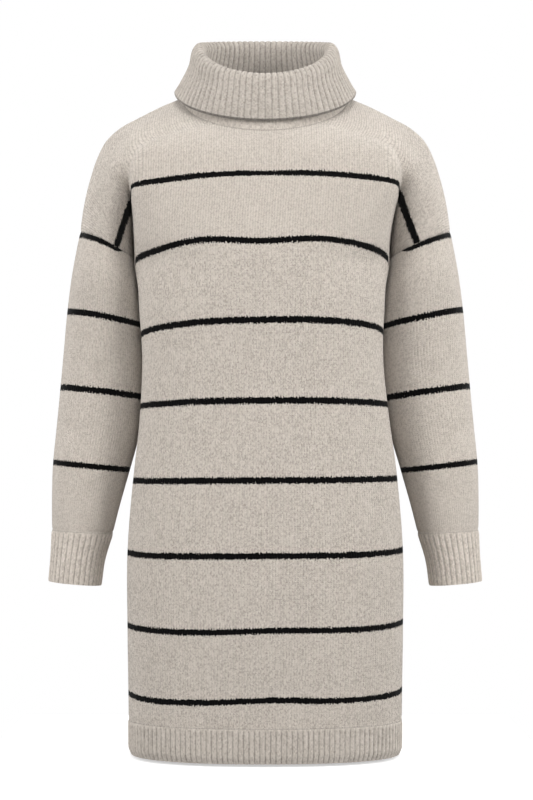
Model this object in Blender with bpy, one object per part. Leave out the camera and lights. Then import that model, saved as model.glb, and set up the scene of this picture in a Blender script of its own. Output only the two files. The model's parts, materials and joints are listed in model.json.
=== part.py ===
"""Tunic sweater: a knitted roll-neck tunic with dropped shoulders, hollow, in the form that it has when worn.

Metres, +Z up. The front faces -Y and the wearer's left arm is at +X. The origin lies between the
two shoulder points at the base of the neck, where the wearer's shoulders hold the garment up.

The whole cloth is first laid out as one smooth surface, made of grids of points that meet along
the seams. It is then cut along the seams, and each cut piece becomes a wall of its own.
"""

import math

import bmesh
import bpy
import numpy as np

# Cloth
WALL = 0.0025
SEAM_GAP = 0.0003
MITRE_OUT = 0.00035
MITRE_UP = 0.0075

# Heights, from the shoulder points
UNDERARM_UP = -0.224
HEM_RIB_UP = -0.807
HEM_UP = -0.850
SIDE_SEAM_Y = 0.005

# How square the cross-sections are: 2 is an ellipse
TORSO_POWER = 2.3
ARM_POWER = 2.1
ARMHOLE_POWER = 1.7

# How the rows above the armpit fold leave it and arrive at the neckline
FADE_STEP = 0.02
ARRIVE_PULL = 0.8
COLLAR_LEAN_AT = 0.05
COLLAR_LEAN_OUT = 0.4

# The share of the sleeve's length in which its rings turn from the armhole's shape into round ones
SLEEVE_HEAD_SHARE = 0.25

# Mesh density, as segments
CHEST_STEPS = 7
FOLD_STEPS = 2
ARM_STEPS = 7
YOKE_STEPS = 10
TORSO_STEPS = 9
HEM_STEPS = 2
SLEEVE_STEPS = 10
CUFF_STEPS = 3
COLLAR_STEPS = 10
CURVE_POINTS = 361
CREASE_ANGLE = math.radians(50)

# Where along its half section the torso's armpit edge lies, from the centre line to the side seam
EDGE_SHARE = 0.84

# The torso's level sections: half width, reach of front and back, and where it is widest
TORSO = np.array([
    # up,    half_width, front,  back,  widest_y
    (-0.850, 0.1750, 0.1080, 0.1060, -0.010),
    (-0.780, 0.1755, 0.1100, 0.1080, -0.012),
    (-0.690, 0.1768, 0.1130, 0.1110, -0.015),
    (-0.590, 0.1768, 0.1140, 0.1120, -0.018),
    (-0.500, 0.1697, 0.1125, 0.1075, -0.022),
    (-0.410, 0.1590, 0.1115, 0.1005, -0.028),
    (-0.340, 0.1545, 0.1130, 0.0980, -0.032),
    (-0.280, 0.1575, 0.1170, 0.1015, -0.032),
    (-0.250, 0.1600, 0.1180, 0.1030, -0.022),
    (-0.224, 0.1660, 0.1190, 0.1050, 0.000),
])

# The shoulder seam, from the sleeve seam (0) over the shoulder to the neckline (1)
SHOULDER = np.array([
    # at,  out,    up
    (0.00, 0.2415, -0.1770),
    (0.15, 0.2365, -0.1420),
    (0.30, 0.2290, -0.1090),
    (0.42, 0.2190, -0.0780),
    (0.52, 0.2080, -0.0570),
    (0.62, 0.1910, -0.0410),
    (0.75, 0.1640, -0.0260),
    (0.88, 0.1340, -0.0110),
    (1.00, 0.1080, -0.0005),
])

# Guide lines of the front yoke, from the underarm up to where the armpit fold fades away: the centre
# line, the edge of the fold, the bottom of the fold and the front of the arm
FRONT_GUIDES = np.array([
    # at,  centre y, up,      edge x,  y,       up,      bottom x, y,     up,      arm x,  y,       up
    (0.00, -0.1190, -0.2240, 0.1630, -0.0320, -0.2240, 0.1660, 0.0050, -0.2240, 0.2030, -0.0570, -0.1930),
    (0.15, -0.1180, -0.1950, 0.1630, -0.0500, -0.1880, 0.1675, -0.0060, -0.1900, 0.2020, -0.0600, -0.1680),
    (0.30, -0.1140, -0.1670, 0.1655, -0.0670, -0.1550, 0.1700, -0.0260, -0.1580, 0.2000, -0.0610, -0.1400),
    (0.42, -0.1105, -0.1450, 0.1685, -0.0750, -0.1290, 0.1740, -0.0480, -0.1310, 0.1980, -0.0590, -0.1140),
    (0.52, -0.1080, -0.1270, 0.1690, -0.0760, -0.1070, 0.1760, -0.0620, -0.1080, 0.1925, -0.0510, -0.0920),
    (0.64, -0.1050, -0.1070, 0.1600, -0.0760, -0.0840, 0.1680, -0.0640, -0.0800, 0.1790, -0.0400, -0.0640),
])
BACK_GUIDES = np.array([
    (0.00, 0.1050, -0.2240, 0.1430, 0.0480, -0.2240, 0.1660, 0.0050, -0.2240, 0.2030, 0.0670, -0.1990),
    (0.15, 0.1060, -0.1900, 0.1470, 0.0600, -0.1880, 0.1675, 0.0200, -0.1900, 0.2020, 0.0680, -0.1680),
    (0.30, 0.1060, -0.1550, 0.1530, 0.0720, -0.1550, 0.1700, 0.0400, -0.1580, 0.2000, 0.0660, -0.1400),
    (0.42, 0.1040, -0.1250, 0.1590, 0.0770, -0.1290, 0.1740, 0.0550, -0.1310, 0.1980, 0.0620, -0.1140),
    (0.52, 0.1010, -0.1000, 0.1620, 0.0770, -0.1070, 0.1760, 0.0620, -0.1080, 0.1925, 0.0520, -0.0920),
    (0.64, 0.0960, -0.0720, 0.1540, 0.0760, -0.0820, 0.1680, 0.0620, -0.0800, 0.1790, 0.0400, -0.0640),
])
FADE_AT = FRONT_GUIDES[-1, 0]

# Rings of the sleeve under its seam, and of the cuff: outer and inner points, middle y and half depth
SLEEVE = np.array([
    # down,  outer x, up,     inner x, up,      middle y, half_depth
    (0.000, 0.2415, -0.1770, 0.1660, -0.2240, 0.0050, 0.0620),
    (0.100, 0.2515, -0.2280, 0.1630, -0.2620, 0.0080, 0.0620),
    (0.220, 0.2595, -0.2780, 0.1550, -0.2990, 0.0200, 0.0605),
    (0.340, 0.2650, -0.3300, 0.1535, -0.3460, 0.0280, 0.0585),
    (0.460, 0.2695, -0.3790, 0.1570, -0.3920, 0.0300, 0.0565),
    (0.580, 0.2740, -0.4300, 0.1655, -0.4410, 0.0280, 0.0540),
    (0.700, 0.2780, -0.4780, 0.1780, -0.4880, 0.0230, 0.0505),
    (0.840, 0.2785, -0.5230, 0.1896, -0.5310, 0.0165, 0.0450),
    (1.000, 0.2775, -0.5660, 0.1990, -0.5700, 0.0110, 0.0405),
])
CUFF = np.array([
    (0.00, 0.2775, -0.5660, 0.1990, -0.5700, 0.0110, 0.0405),
    (0.50, 0.2785, -0.5990, 0.2090, -0.6040, 0.0080, 0.0375),
    (1.00, 0.2810, -0.6310, 0.2135, -0.6370, 0.0060, 0.0360),
])

# Rings of the collar from the neckline up its inner stand, over the roll and down the outer fall
COLLAR = np.array([
    # along, out,    front,  back,   front_up, side_up, back_up
    (0.00, 0.1080, 0.0920, 0.0700, -0.0600, -0.0005, 0.0200),
    (0.15, 0.0970, 0.0870, 0.0680, -0.0370, 0.0200, 0.0390),
    (0.32, 0.0850, 0.0810, 0.0660, -0.0060, 0.0480, 0.0660),
    (0.42, 0.0815, 0.0815, 0.0670, 0.0045, 0.0630, 0.0830),
    (0.50, 0.0865, 0.0865, 0.0720, 0.0095, 0.0690, 0.0885),
    (0.58, 0.0925, 0.0915, 0.0780, 0.0040, 0.0625, 0.0840),
    (0.70, 0.0970, 0.0945, 0.0810, -0.0120, 0.0430, 0.0660),
    (0.86, 0.1090, 0.0965, 0.0850, -0.0345, 0.0190, 0.0350),
    (1.00, 0.1170, 0.0955, 0.0860, -0.0495, 0.0065, 0.0130),
])

BEIGE = (0.56, 0.50, 0.43)
RIB_SHADE = 0.94
KNIT_ROUGHNESS = 0.9


def clear_scene():
    """Empties the scene before anything is built."""
    for obj in list(bpy.data.objects):
        bpy.data.objects.remove(obj)


def smooth(table, at):
    """The table's row at a place between its rows, on a smooth curve through them."""
    knots = table[:, 0]
    values = table[:, 1:]
    slopes = np.gradient(values, knots, axis=0)
    low = int(np.clip(np.searchsorted(knots, at) - 1, 0, len(knots) - 2))
    span = knots[low + 1] - knots[low]
    f = (at - knots[low]) / span
    return (
        (1 + 2 * f) * (1 - f) ** 2 * values[low]
        + f * (1 - f) ** 2 * span * slopes[low]
        + f * f * (3 - 2 * f) * values[low + 1]
        - f * f * (1 - f) * span * slopes[low + 1]
    )


def resample(line, shares):
    """Points of a polyline at the given shares of its length."""
    steps = np.linalg.norm(np.diff(line, axis=0), axis=1)
    along = np.concatenate([[0.0], np.cumsum(steps)])
    at = np.asarray(shares) * along[-1]
    return np.stack([np.interp(at, along, line[:, axis]) for axis in range(3)], axis=1)


def bent(angle, power):
    """Sine and cosine of a superellipse of this power."""
    sine = np.abs(np.sin(angle)) ** (2 / power)
    cosine = np.sign(np.cos(angle)) * np.abs(np.cos(angle)) ** (2 / power)
    return sine, cosine


def torso_half(up, front):
    """Half of a level section at +X, from the centre line to the side seam, on the front or the back."""
    half_width, reach_front, reach_back, widest = smooth(TORSO, up)
    sine, cosine = bent(np.linspace(0, math.pi, CURVE_POINTS), TORSO_POWER)
    reach = np.where(cosine > 0, reach_front + widest, reach_back - widest)
    heights = np.full(CURVE_POINTS, up)
    line = np.stack([half_width * sine, widest - reach * cosine, heights], axis=1)
    seam = int(np.searchsorted(line[:, 1], SIDE_SEAM_Y))
    half = line[: seam + 1] if front else line[seam:][::-1]
    chest = np.linspace(0, EDGE_SHARE, CHEST_STEPS + 1)
    side = np.linspace(EDGE_SHARE, 1, FOLD_STEPS + 1)
    return resample(half, np.concatenate([chest, side[1:]]))


def side_seam(up):
    """The side seam is shared by both halves: the front half's own last point."""
    return torso_half(up, True)[-1]


def closed_half(up, front):
    """Half of a level section that ends on the shared side seam."""
    half = torso_half(up, front)
    half[-1] = side_seam(up)
    return half


def arm_arc(bottom, ridge, arm):
    """The half ellipse from the fold's bottom round the arm to the shoulder seam."""
    middle = (bottom + ridge) / 2
    sine, cosine = bent(np.linspace(0, math.pi, ARM_STEPS + 1), ARMHOLE_POWER)
    return middle + cosine[:, None] * (bottom - middle) + sine[:, None] * (arm - middle)


def low_yoke_half(at, front):
    """Half of the yoke at +X from the centre line over the fold to the shoulder seam."""
    guides = smooth(FRONT_GUIDES if front else BACK_GUIDES, at)
    centre = np.array([0.0, guides[0], guides[1]])
    edge, bottom, arm = guides[2:5], guides[5:8], guides[8:11]
    out, up = smooth(SHOULDER, at)
    ridge = np.array([out, 0.0, up])
    if at == 0:
        chest = closed_half(UNDERARM_UP, front)
        bottom = chest[-1]
    else:
        sine, cosine = bent(np.linspace(0, math.pi / 2, CURVE_POINTS), TORSO_POWER)
        rise = sine[:, None] ** 2 * (edge[2] - centre[2])
        line = np.stack([edge[0] * sine, edge[1] + (centre[1] - edge[1]) * cosine], axis=1)
        line = np.concatenate([line, centre[2] + rise], axis=1)
        chest = resample(line, np.linspace(0, 1, CHEST_STEPS + 1))
        steps = np.linspace(0, 1, FOLD_STEPS + 1)[1:, None]
        chest = np.concatenate([chest, edge + (bottom - edge) * steps])
    return np.concatenate([chest, arm_arc(bottom, ridge, arm)[1:]])


def collar_half(along, front):
    """Half of one of the collar's tilted rings, from the centre line to the shoulder point."""
    out, reach_front, reach_back, front_up, side_up, back_up = smooth(COLLAR, along)
    reach, end_up = (-reach_front, front_up) if front else (reach_back, back_up)
    angle = np.linspace(0, math.pi / 2, CURVE_POINTS)
    line = np.stack(
        [out * np.sin(angle), reach * np.cos(angle), side_up + (end_up - side_up) * np.cos(angle)],
        axis=1,
    )
    return resample(line, np.linspace(0, 1, CHEST_STEPS + FOLD_STEPS + ARM_STEPS + 1))


def yoke_half(at, front):
    """Half of a yoke row: guided below the fading point of the fold, a blend to the neckline above it."""
    if at <= FADE_AT:
        return low_yoke_half(at, front)
    start = low_yoke_half(FADE_AT, front)
    rise = (start - low_yoke_half(FADE_AT - FADE_STEP, front)) / FADE_STEP * (1 - FADE_AT)
    share = np.linspace(0, 1, len(start))[:, None]
    leave = (1 - share) * rise[0] + share * rise[-1]
    end = collar_half(0.0, front)
    lean = collar_half(COLLAR_LEAN_AT, front) - end
    lean[:, 0] *= COLLAR_LEAN_OUT
    arrive = (end - start) * ARRIVE_PULL + lean
    f = (at - FADE_AT) / (1 - FADE_AT)
    row = (
        (1 + 2 * f) * (1 - f) ** 2 * start
        + f * (1 - f) ** 2 * leave
        + f * f * (3 - 2 * f) * end
        - f * f * (1 - f) * arrive
    )
    out, up = smooth(SHOULDER, at)
    shift = np.array([out, 0.0, up]) - row[-1]
    return row + share ** 3 * shift


def both_halves(half):
    """A full row from -X to +X, from its half at +X."""
    mirrored = half[:0:-1] * np.array([-1.0, 1.0, 1.0])
    return np.concatenate([mirrored, half])


def sleeve_ring(table, at, side):
    """A ring round the arm, from the underarm over the front to the outside and back behind."""
    outer_x, outer_up, inner_x, inner_up, middle_y, depth = smooth(table, at)
    outer = np.array([outer_x, middle_y, outer_up])
    inner = np.array([inner_x, middle_y, inner_up])
    middle = (outer + inner) / 2
    sine, cosine = bent(np.linspace(0, math.pi, ARM_STEPS + 1), ARM_POWER)
    forward = np.array([0.0, -depth, 0.0])
    front = middle + cosine[:, None] * (inner - middle) + sine[:, None] * forward
    back = middle + cosine[:, None] * (inner - middle) - sine[:, None] * forward
    ring = np.concatenate([front, back[-2::-1]])
    return ring * np.array([side, 1.0, 1.0])


def armhole_ring(side):
    """The sleeve seam, in the same order of points as a sleeve ring."""
    front = yoke_half(0.0, True)[-ARM_STEPS - 1:]
    back = yoke_half(0.0, False)[-ARM_STEPS - 1:]
    return np.concatenate([front, back[-2::-1]]) * np.array([side, 1.0, 1.0])


def sleeve_grid(side):
    """The sleeve's rings. They leave the armhole's own ring and settle into round ones."""
    first = armhole_ring(side)
    change = first - sleeve_ring(SLEEVE, 0.0, side)
    rings = []
    for at in np.linspace(0, 1, SLEEVE_STEPS + 1):
        head = max(0.0, 1 - at / SLEEVE_HEAD_SHARE)
        rings.append(sleeve_ring(SLEEVE, at, side) + change * head)
    return np.array(rings)


def cloth_grids():
    """(piece name, grid of points) for every part of the joined cloth."""
    grids = []
    for name, hem, front in (("front", "hem_front", True), ("back", "hem_back", False)):
        yoke = [both_halves(yoke_half(at, front)) for at in np.linspace(0, 1, YOKE_STEPS + 1)]
        grids.append((name, np.array(yoke)))
        for piece, top, low, steps in (
            (name, UNDERARM_UP, HEM_RIB_UP, TORSO_STEPS),
            (hem, HEM_RIB_UP, HEM_UP, HEM_STEPS),
        ):
            rows = [both_halves(closed_half(up, front)) for up in np.linspace(top, low, steps + 1)]
            grids.append((piece, np.array(rows)))
        collar = [both_halves(collar_half(at, front)) for at in np.linspace(0, 1, COLLAR_STEPS + 1)]
        grids.append(("collar", np.array(collar)))
    for suffix, side in (("left", 1.0), ("right", -1.0)):
        grids.append((f"sleeve_{suffix}", sleeve_grid(side)))
        cuff = [sleeve_ring(CUFF, at, side) for at in np.linspace(0, 1, CUFF_STEPS + 1)]
        grids.append((f"cuff_{suffix}", np.array(cuff)))
    return grids


def joined_cloth(grids):
    """One surface of all the grids, welded along the seams, with its outward normals."""
    points, faces, owners = [], [], []
    for name, grid in grids:
        rows, columns = grid.shape[:2]
        base = len(points)
        points.extend(grid.reshape(-1, 3))
        for row in range(rows - 1):
            for column in range(columns - 1):
                corner = base + row * columns + column
                faces.append((corner, corner + 1, corner + columns + 1, corner + columns))
                owners.append(name)
    keys = np.round(np.array(points), 6)
    _, first, index = np.unique(keys, axis=0, return_index=True, return_inverse=True)
    index = index.reshape(-1)
    cloth = bmesh.new()
    for point in np.array(points)[first]:
        cloth.verts.new(point)
    cloth.verts.ensure_lookup_table()
    layer = cloth.faces.layers.int.new("owner")
    names = sorted(set(owners))
    for face, owner in zip(faces, owners):
        made = cloth.faces.new([cloth.verts[index[corner]] for corner in face])
        made[layer] = names.index(owner)
    bmesh.ops.recalc_face_normals(cloth, faces=cloth.faces)
    bmesh.ops.triangulate(cloth, faces=cloth.faces, quad_method="SHORT_EDGE")
    cloth.verts.index_update()
    cloth.normal_update()
    return cloth, layer, names


def thickness_at(vert):
    """The step through the wall. At the underarm point its four walls meet in a tall mitre."""
    spot = np.array([abs(vert.co.x), vert.co.y, vert.co.z])
    if np.linalg.norm(spot - side_seam(UNDERARM_UP)) < SEAM_GAP:
        return np.array([math.copysign(MITRE_OUT, vert.co.x), 0.0, MITRE_UP])
    return -WALL * np.array(vert.normal)


def outermost(vert):
    """Sorts the points of a seam so that both pieces split its rim along the same diagonals."""
    return (-round(abs(vert.co.x), 6), vert.co.y, vert.co.z)


def inward_step(vert, faces):
    """The way from a boundary point into its own piece, along the cloth."""
    way = np.zeros(3)
    for face in faces:
        centre = face.calc_center_median() - vert.co
        centre -= vert.normal * centre.dot(vert.normal)
        way += np.array(centre)
    return way / np.linalg.norm(way)


def cut_piece(cloth, layer, number, name, material):
    """One piece of the cloth as a closed wall, drawn back from its seams by half a gap."""
    faces = [face for face in cloth.faces if face[layer] == number]
    verts = sorted({vert for face in faces for vert in face.verts}, key=lambda vert: vert.index)
    place = {vert: spot for spot, vert in enumerate(verts)}
    rim = []
    for face in faces:
        for loop in face.loops:
            others = [other for other in loop.edge.link_faces if other[layer] == number]
            if len(others) == 1:
                rim.append((loop.vert, loop.link_loop_next.vert))
    edge_verts = {vert for pair in rim for vert in pair}
    outer = []
    inner = []
    for vert in verts:
        spot = np.array(vert.co)
        if vert in edge_verts:
            mine = [face for face in vert.link_faces if face[layer] == number]
            spot = spot + inward_step(vert, mine) * SEAM_GAP * 0.5
        outer.append(spot)
        inner.append(spot + thickness_at(vert))
    count = len(verts)
    polygons = [[place[vert] for vert in face.verts] for face in faces]
    polygons += [[place[vert] + count for vert in reversed(face.verts)] for face in faces]
    for start, end in rim:
        far, near = sorted((start, end), key=outermost)
        across = [place[far], place[near], place[near] + count]
        along = [place[far], place[near] + count, place[far] + count]
        turned = start is far
        polygons += [triangle[::-1] if turned else triangle for triangle in (across, along)]
    mesh = bpy.data.meshes.new(name)
    mesh.from_pydata([tuple(point) for point in outer + inner], [], polygons)
    mesh.materials.append(material)
    mesh.shade_smooth()
    mesh.set_sharp_from_angle(angle=CREASE_ANGLE)
    solid = bpy.data.objects.new(name, mesh)
    bpy.context.scene.collection.objects.link(solid)
    return solid


def knit_material(name, colour):
    """A matt cloth finish in one colour."""
    material = bpy.data.materials.new(name)
    material.use_nodes = True
    surface = material.node_tree.nodes["Principled BSDF"]
    surface.inputs["Base Color"].default_value = (*colour, 1.0)
    surface.inputs["Roughness"].default_value = KNIT_ROUGHNESS
    surface.inputs["Metallic"].default_value = 0.0
    return material


def main():
    """Lays out the cloth and cuts it into the sweater's pieces."""
    clear_scene()
    cloth, layer, names = joined_cloth(cloth_grids())
    for number, name in enumerate(names):
        shade = RIB_SHADE if name.startswith(("hem", "cuff", "collar")) else 1.0
        material = knit_material(name, tuple(shade * value for value in BEIGE))
        cut_piece(cloth, layer, number, name, material)
    cloth.free()


main()
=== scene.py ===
# %% [markdown]
# # A knitted tunic sweater
#
# This lesson dresses a plain, measured model of a tunic sweater in real-looking knitwear. The measured
# model, called the frame, holds nine pieces of cloth: front, back, two sleeves, two cuffs, two halves
# of the hem and a folded roll collar. The frame is right in size and seam, but its faces are coarse.
# So each piece is made again here as a fine thin shell on the same form, with its ribs, seams and soft
# creases as real shape, and with the stitches, the heathered yarn and the black stripes as a material.

# %% Load the frame
import json
import math

import bpy
import numpy as np
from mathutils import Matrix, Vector
from mathutils.kdtree import KDTree

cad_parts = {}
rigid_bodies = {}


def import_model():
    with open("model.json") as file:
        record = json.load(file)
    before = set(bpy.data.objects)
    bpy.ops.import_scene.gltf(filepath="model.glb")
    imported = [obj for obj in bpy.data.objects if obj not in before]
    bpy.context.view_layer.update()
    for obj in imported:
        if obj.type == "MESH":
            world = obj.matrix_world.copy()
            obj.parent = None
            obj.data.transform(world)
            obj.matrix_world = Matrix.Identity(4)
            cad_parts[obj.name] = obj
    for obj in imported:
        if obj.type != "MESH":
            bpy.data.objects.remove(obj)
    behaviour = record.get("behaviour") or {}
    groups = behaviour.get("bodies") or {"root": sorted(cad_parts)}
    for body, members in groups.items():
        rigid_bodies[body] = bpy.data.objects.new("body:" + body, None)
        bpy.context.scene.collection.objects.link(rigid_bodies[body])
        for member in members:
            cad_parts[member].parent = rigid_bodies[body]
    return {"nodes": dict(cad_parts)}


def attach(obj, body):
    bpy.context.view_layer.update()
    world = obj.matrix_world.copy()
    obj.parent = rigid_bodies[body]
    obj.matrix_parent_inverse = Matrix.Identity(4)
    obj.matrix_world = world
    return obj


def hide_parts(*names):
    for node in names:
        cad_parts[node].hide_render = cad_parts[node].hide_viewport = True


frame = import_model()
bpy.context.view_layer.update()
print("frame nodes:", sorted(frame["nodes"]))

# %% [markdown]
# ## Camera
#
# The sweater is seen from straight ahead, from about the height of the hips and tilted a little up,
# with a long lens that keeps the sleeves and the body in proportion. A shorter lens from nearer would
# swell the chest. The camera comes first, because every later choice is judged through it.

# %% Camera
CAMERA_SPOT = (0.0016, -2.3, -0.4875)
CAMERA_AIM = (0.0016, 0.0, -0.3965)
LENS_MM = 79.6


def add_aimed(name, data, spot, aim):
    """A camera or a light at a spot, turned towards its aim."""
    thing = bpy.data.objects.new(name, data)
    thing.location = spot
    thing.rotation_euler = (Vector(aim) - Vector(spot)).to_track_quat("-Z", "Y").to_euler()
    bpy.context.scene.collection.objects.link(thing)
    return thing


camera_data = bpy.data.cameras.new("camera")
camera_data.lens = LENS_MM
camera = add_aimed("camera", camera_data, CAMERA_SPOT, CAMERA_AIM)
bpy.context.scene.camera = camera
print("camera tilt, degrees:", round(math.degrees(camera.rotation_euler.x) - 90, 2))

# %% [markdown]
# ## The form of the garment
#
# A sweater on a body is a tube with sleeves, so its form can be given as sections: level rings for the
# body, tilted rings for the sleeves and collar, and guide lines for the yoke, where the cloth runs from
# the chest into the fold at the armpit and out over the dropped shoulder. The frame was built from the
# same few tables, but for one ring, 3 mm wider here so that the sleeve closes up to the body under the
# arm. Everything else is worked out from them, so the fine cloth fits the frame.

# %% Sizes and sections, in metres, from the shoulder points down
WALL = 0.0022
UNDERARM_UP = -0.224
HEM_RIB_UP = -0.807
HEM_UP = -0.850
SIDE_SEAM_Y = 0.005
TORSO_POWER = 2.3
ARM_POWER = 2.1
ARMHOLE_POWER = 1.7
CURVE_POINTS = 361
MIRROR = np.array([-1.0, 1.0, 1.0])

# The body's level sections
TORSO = np.array([
    # up,    half_width, front,  back,  widest_y
    (-0.850, 0.1750, 0.1080, 0.1060, -0.010),
    (-0.780, 0.1755, 0.1100, 0.1080, -0.012),
    (-0.690, 0.1768, 0.1130, 0.1110, -0.015),
    (-0.590, 0.1768, 0.1140, 0.1120, -0.018),
    (-0.500, 0.1697, 0.1125, 0.1075, -0.022),
    (-0.410, 0.1590, 0.1115, 0.1005, -0.028),
    (-0.340, 0.1545, 0.1130, 0.0980, -0.032),
    (-0.280, 0.1575, 0.1170, 0.1015, -0.032),
    (-0.250, 0.1600, 0.1180, 0.1030, -0.022),
    (-0.224, 0.1660, 0.1190, 0.1050, 0.000),
])

# The shoulder seam, from the sleeve seam (0) over the shoulder to the neckline (1)
SHOULDER = np.array([
    # at,  out,    up
    (0.00, 0.2415, -0.1770),
    (0.15, 0.2365, -0.1420),
    (0.30, 0.2290, -0.1090),
    (0.42, 0.2190, -0.0780),
    (0.52, 0.2080, -0.0570),
    (0.62, 0.1910, -0.0410),
    (0.75, 0.1640, -0.0260),
    (0.88, 0.1340, -0.0110),
    (1.00, 0.1080, -0.0005),
])

# Guide lines of the yoke, from the underarm up to where the armpit fold fades away: the centre line,
# the edge of the fold, the bottom of the fold and the front or back of the arm
FRONT_GUIDES = np.array([
    # at,  centre y, up,      edge x,  y,       up,      bottom x, y,     up,      arm x,  y,       up
    (0.00, -0.1190, -0.2240, 0.1630, -0.0320, -0.2240, 0.1660, 0.0050, -0.2240, 0.2030, -0.0570, -0.1930),
    (0.15, -0.1180, -0.1950, 0.1630, -0.0500, -0.1880, 0.1675, -0.0060, -0.1900, 0.2020, -0.0600, -0.1680),
    (0.30, -0.1140, -0.1670, 0.1655, -0.0670, -0.1550, 0.1700, -0.0260, -0.1580, 0.2000, -0.0610, -0.1400),
    (0.42, -0.1105, -0.1450, 0.1685, -0.0750, -0.1290, 0.1740, -0.0480, -0.1310, 0.1980, -0.0590, -0.1140),
    (0.52, -0.1080, -0.1270, 0.1690, -0.0760, -0.1070, 0.1760, -0.0620, -0.1080, 0.1925, -0.0510, -0.0920),
    (0.64, -0.1050, -0.1070, 0.1600, -0.0760, -0.0840, 0.1680, -0.0640, -0.0800, 0.1790, -0.0400, -0.0640),
])
BACK_GUIDES = np.array([
    (0.00, 0.1050, -0.2240, 0.1430, 0.0480, -0.2240, 0.1660, 0.0050, -0.2240, 0.2030, 0.0670, -0.1990),
    (0.15, 0.1060, -0.1900, 0.1470, 0.0600, -0.1880, 0.1675, 0.0200, -0.1900, 0.2020, 0.0680, -0.1680),
    (0.30, 0.1060, -0.1550, 0.1530, 0.0720, -0.1550, 0.1700, 0.0400, -0.1580, 0.2000, 0.0660, -0.1400),
    (0.42, 0.1040, -0.1250, 0.1590, 0.0770, -0.1290, 0.1740, 0.0550, -0.1310, 0.1980, 0.0620, -0.1140),
    (0.52, 0.1010, -0.1000, 0.1620, 0.0770, -0.1070, 0.1760, 0.0620, -0.1080, 0.1925, 0.0520, -0.0920),
    (0.64, 0.0960, -0.0720, 0.1540, 0.0760, -0.0820, 0.1680, 0.0620, -0.0800, 0.1790, 0.0400, -0.0640),
])
FADE_AT = FRONT_GUIDES[-1, 0]

# Rings of the sleeve under its seam, and of the cuff
SLEEVE = np.array([
    # down,  outer x, up,     inner x, up,      middle y, half_depth
    (0.000, 0.2415, -0.1770, 0.1660, -0.2240, 0.0050, 0.0620),
    (0.100, 0.2515, -0.2280, 0.1600, -0.2620, 0.0080, 0.0620),
    (0.220, 0.2595, -0.2780, 0.1550, -0.2990, 0.0200, 0.0605),
    (0.340, 0.2650, -0.3300, 0.1535, -0.3460, 0.0280, 0.0585),
    (0.460, 0.2695, -0.3790, 0.1570, -0.3920, 0.0300, 0.0565),
    (0.580, 0.2740, -0.4300, 0.1655, -0.4410, 0.0280, 0.0540),
    (0.700, 0.2780, -0.4780, 0.1780, -0.4880, 0.0230, 0.0505),
    (0.840, 0.2785, -0.5230, 0.1896, -0.5310, 0.0165, 0.0450),
    (1.000, 0.2775, -0.5660, 0.1990, -0.5700, 0.0110, 0.0405),
])
CUFF = np.array([
    (0.00, 0.2775, -0.5660, 0.1990, -0.5700, 0.0110, 0.0405),
    (0.50, 0.2785, -0.5990, 0.2090, -0.6040, 0.0080, 0.0375),
    (1.00, 0.2810, -0.6310, 0.2135, -0.6370, 0.0060, 0.0360),
])

# Rings of the collar from the neckline up its inner stand, over the roll and down the outer fall
COLLAR = np.array([
    # along, out,    front,  back,   front_up, side_up, back_up
    (0.00, 0.1080, 0.0920, 0.0700, -0.0600, -0.0005, 0.0200),
    (0.15, 0.0970, 0.0870, 0.0680, -0.0370, 0.0200, 0.0390),
    (0.32, 0.0850, 0.0810, 0.0660, -0.0060, 0.0480, 0.0660),
    (0.42, 0.0815, 0.0815, 0.0670, 0.0045, 0.0630, 0.0830),
    (0.50, 0.0865, 0.0865, 0.0720, 0.0095, 0.0690, 0.0885),
    (0.58, 0.0925, 0.0915, 0.0780, 0.0040, 0.0625, 0.0840),
    (0.70, 0.0970, 0.0945, 0.0810, -0.0120, 0.0430, 0.0660),
    (0.86, 0.1090, 0.0965, 0.0850, -0.0345, 0.0190, 0.0350),
    (1.00, 0.1170, 0.0955, 0.0860, -0.0495, 0.0065, 0.0130),
])

# %% [markdown]
# A curve through the rows of a table gives a section at any height between them. The superellipse is
# the friend of anyone who models clothes: with a power of 2 it is an ellipse, and a little more makes
# the fuller, squarer section that cloth takes when air and not a body fills it.

# %% Curves and sections
def glide(start, leave, end, arrive, f):
    """A share f of the way from start to end, on a smooth way with these slopes at its ends."""
    return (
        (1 + 2 * f) * (1 - f) ** 2 * start
        + f * (1 - f) ** 2 * leave
        + f * f * (3 - 2 * f) * end
        - f * f * (1 - f) * arrive
    )


def curve_through(knots, values, at):
    """Values at one place or at many, on a smooth curve through the knots."""
    slopes = np.gradient(values, knots, axis=0)
    low = np.clip(np.searchsorted(knots, at) - 1, 0, len(knots) - 2)
    span = knots[low + 1] - knots[low]
    f = (at - knots[low]) / span
    return glide(values[low], span * slopes[low], values[low + 1], span * slopes[low + 1], f)


def smooth(table, at):
    """The table's row at a place between its rows."""
    return curve_through(table[:, 0], table[:, 1:], at)


def lengths_along(line):
    """How far along a polyline each of its points is."""
    steps = np.linalg.norm(np.diff(line, axis=0), axis=1)
    return np.concatenate([[0.0], np.cumsum(steps)])


def resample(line, shares):
    """Points of a polyline at the given shares of its length."""
    along = lengths_along(line)
    at = np.asarray(shares) * along[-1]
    return np.stack([np.interp(at, along, line[:, axis]) for axis in range(3)], axis=1)


def bent(angle, power):
    """Sine and cosine of a superellipse of this power."""
    sine = np.abs(np.sin(angle)) ** (2 / power)
    cosine = np.sign(np.cos(angle)) * np.abs(np.cos(angle)) ** (2 / power)
    return sine, cosine


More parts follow.
